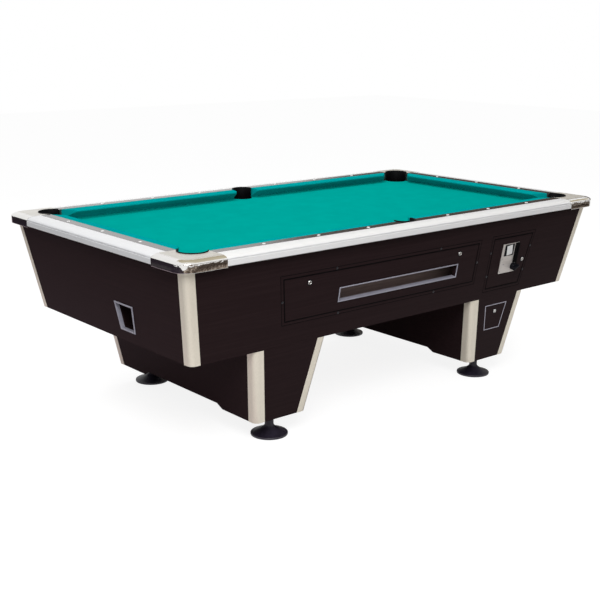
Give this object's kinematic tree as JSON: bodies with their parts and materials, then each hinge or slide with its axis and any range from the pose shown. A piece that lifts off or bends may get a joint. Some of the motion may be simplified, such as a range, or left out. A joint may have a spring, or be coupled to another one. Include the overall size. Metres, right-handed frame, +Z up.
{
  "type": "coin-operated pool table",
  "caption": "Pool table with slate bed, cushioned rails, chrome corners, leaning black cabinet on two pedestals with levelling feet, ball door, coin door and cash door.",
  "frame": {"origin": "on the floor under the middle of the table", "axes": "+X along the table to the right of someone at the front, +Y to the back, +Z up"},
  "size_m": [2.287, 1.297, 0.8],
  "materials": {
    "laminate": "black-brown laminate, satin",
    "rail_strip": "grey laminate, glossy",
    "moulding": "anodised, satin",
    "trim": "anodised champagne, satin",
    "chrome": "polished",
    "slate": "honed",
    "cloth": "napped wool cloth",
    "liner": "matt",
    "plywood": "sanded",
    "foot": "fine texture",
    "steel": "bright",
    "gate": "mill",
    "mech": "brushed",
    "lock": "nickel",
    "knob": "satin",
    "sight": "glossy white",
    "bezel": "satin grey-blue",
    "label": "bare white"
  },
  "bodies": {
    "table_frame": {"ball_run": "plywood", "base_board": "plywood", "cabinet_trim_back_left": "trim", "cabinet_trim_back_right": "trim", "cabinet_trim_front_left": "trim", "cabinet_trim_front_right": "trim", "cash_box": "steel", "corner_casting_back_left": "chrome", "corner_casting_back_right": "chrome", "corner_casting_front_left": "chrome", "corner_casting_front_right": "chrome", "cushion_back_left": "cloth", "cushion_back_right": "cloth", "cushion_front_left": "cloth", "cushion_front_right": "cloth", "cushion_left_end": "cloth", "cushion_right_end": "cloth", "moulding_back": "moulding", "moulding_front": "moulding", "moulding_left": "moulding", "moulding_right": "moulding", "panel_back": "laminate", "panel_front": "laminate", "panel_left": "laminate", "panel_right": "laminate", "pedestal_left": "laminate", "pedestal_right": "laminate", "pedestal_trim_left_inner_back": "trim", "pedestal_trim_left_inner_front": "trim", "pedestal_trim_left_outer_back": "trim", "pedestal_trim_left_outer_front": "trim", "pedestal_trim_right_inner_back": "trim", "pedestal_trim_right_inner_front": "trim", "pedestal_trim_right_outer_back": "trim", "pedestal_trim_right_outer_front": "trim", "pocket_liner_back_left": "liner", "pocket_liner_back_middle": "liner", "pocket_liner_back_right": "liner", "pocket_liner_front_left": "liner", "pocket_liner_front_middle": "liner", "pocket_liner_front_right": "liner", "rail_back": "rail_strip", "rail_front": "rail_strip", "rail_left": "rail_strip", "rail_right": "rail_strip", "slate_bed": "slate"},
    "ball_door": {"ball_door": "laminate"},
    "ball_door_lock_left": {"ball_door_lock_left": "lock"},
    "ball_door_lock_right": {"ball_door_lock_right": "lock"},
    "coin_door": {"coin_door": "laminate", "coin_mech": "mech"},
    "coin_knob": {"coin_knob": "knob"},
    "coin_door_lock": {"coin_door_lock": "lock"},
    "cash_door": {"cash_door": "laminate"},
    "cash_door_lock": {"cash_door_lock": "lock"},
    "release_gate": {"release_gate": "gate"},
    "foot_left_front": {"foot_left_front": "foot"},
    "foot_left_back": {"foot_left_back": "foot"},
    "foot_right_front": {"foot_right_front": "foot"},
    "foot_right_back": {"foot_right_back": "foot"}
  },
  "joints": [
    {"name": "ball_door_hinge", "type": "hinge", "parent": "table_frame", "child": "ball_door", "pos_m": [-0.63983, -0.5691, 0.49332], "axis": [1, 0, 0], "range_deg": [0, 90]},
    {"name": "coin_door_hinge", "type": "hinge", "parent": "table_frame", "child": "coin_door", "pos_m": [0.49693, -0.55983, 0.44261], "axis": [0, 0.1798, -0.9837], "range_deg": [0, 100]},
    {"name": "cash_door_hinge", "type": "hinge", "parent": "table_frame", "child": "cash_door", "pos_m": [0.54714, -0.52268, 0.23939], "axis": [1, 0, 0], "range_deg": [0, 90]},
    {"name": "ball_door_lock_left_turn", "type": "hinge", "parent": "ball_door", "child": "ball_door_lock_left", "pos_m": [-0.54477, -0.59431, 0.63121], "axis": [0, -0.9837, -0.1798], "range_deg": [0, 90]},
    {"name": "ball_door_lock_right_turn", "type": "hinge", "parent": "ball_door", "child": "ball_door_lock_right", "pos_m": [0.28003, -0.59431, 0.63121], "axis": [0, -0.9837, -0.1798], "range_deg": [0, 90]},
    {"name": "coin_door_lock_turn", "type": "hinge", "parent": "coin_door", "child": "coin_door_lock", "pos_m": [0.71208, -0.57925, 0.54885], "axis": [0, -0.9837, -0.1798], "range_deg": [0, 90]},
    {"name": "cash_door_lock_turn", "type": "hinge", "parent": "cash_door", "child": "cash_door_lock", "pos_m": [0.59185, -0.5376, 0.321], "axis": [0, -0.9837, -0.1798], "range_deg": [0, 90]},
    {"name": "coin_knob_turn", "type": "hinge", "parent": "coin_door", "child": "coin_knob", "pos_m": [0.64793, -0.57518, 0.52656], "axis": [0, -0.9837, -0.1798], "range_deg": [0, 180]},
    {"name": "release_gate_lift", "type": "slide", "parent": "table_frame", "child": "release_gate", "axis": [0, 0, 1], "range_m": [0, 0.045]},
    {"name": "foot_left_front_screw", "type": "slide", "parent": "table_frame", "child": "foot_left_front", "axis": [0, 0, 1], "range_m": [-0.018, 0]},
    {"name": "foot_left_back_screw", "type": "slide", "parent": "table_frame", "child": "foot_left_back", "axis": [0, 0, 1], "range_m": [-0.018, 0]},
    {"name": "foot_right_front_screw", "type": "slide", "parent": "table_frame", "child": "foot_right_front", "axis": [0, 0, 1], "range_m": [-0.018, 0]},
    {"name": "foot_right_back_screw", "type": "slide", "parent": "table_frame", "child": "foot_right_back", "axis": [0, 0, 1], "range_m": [-0.018, 0]}
  ],
  "couplings": [
    {"joint": "coin_knob_turn", "follows": "release_gate_lift", "rad_per_m": 69.8}
  ]
}
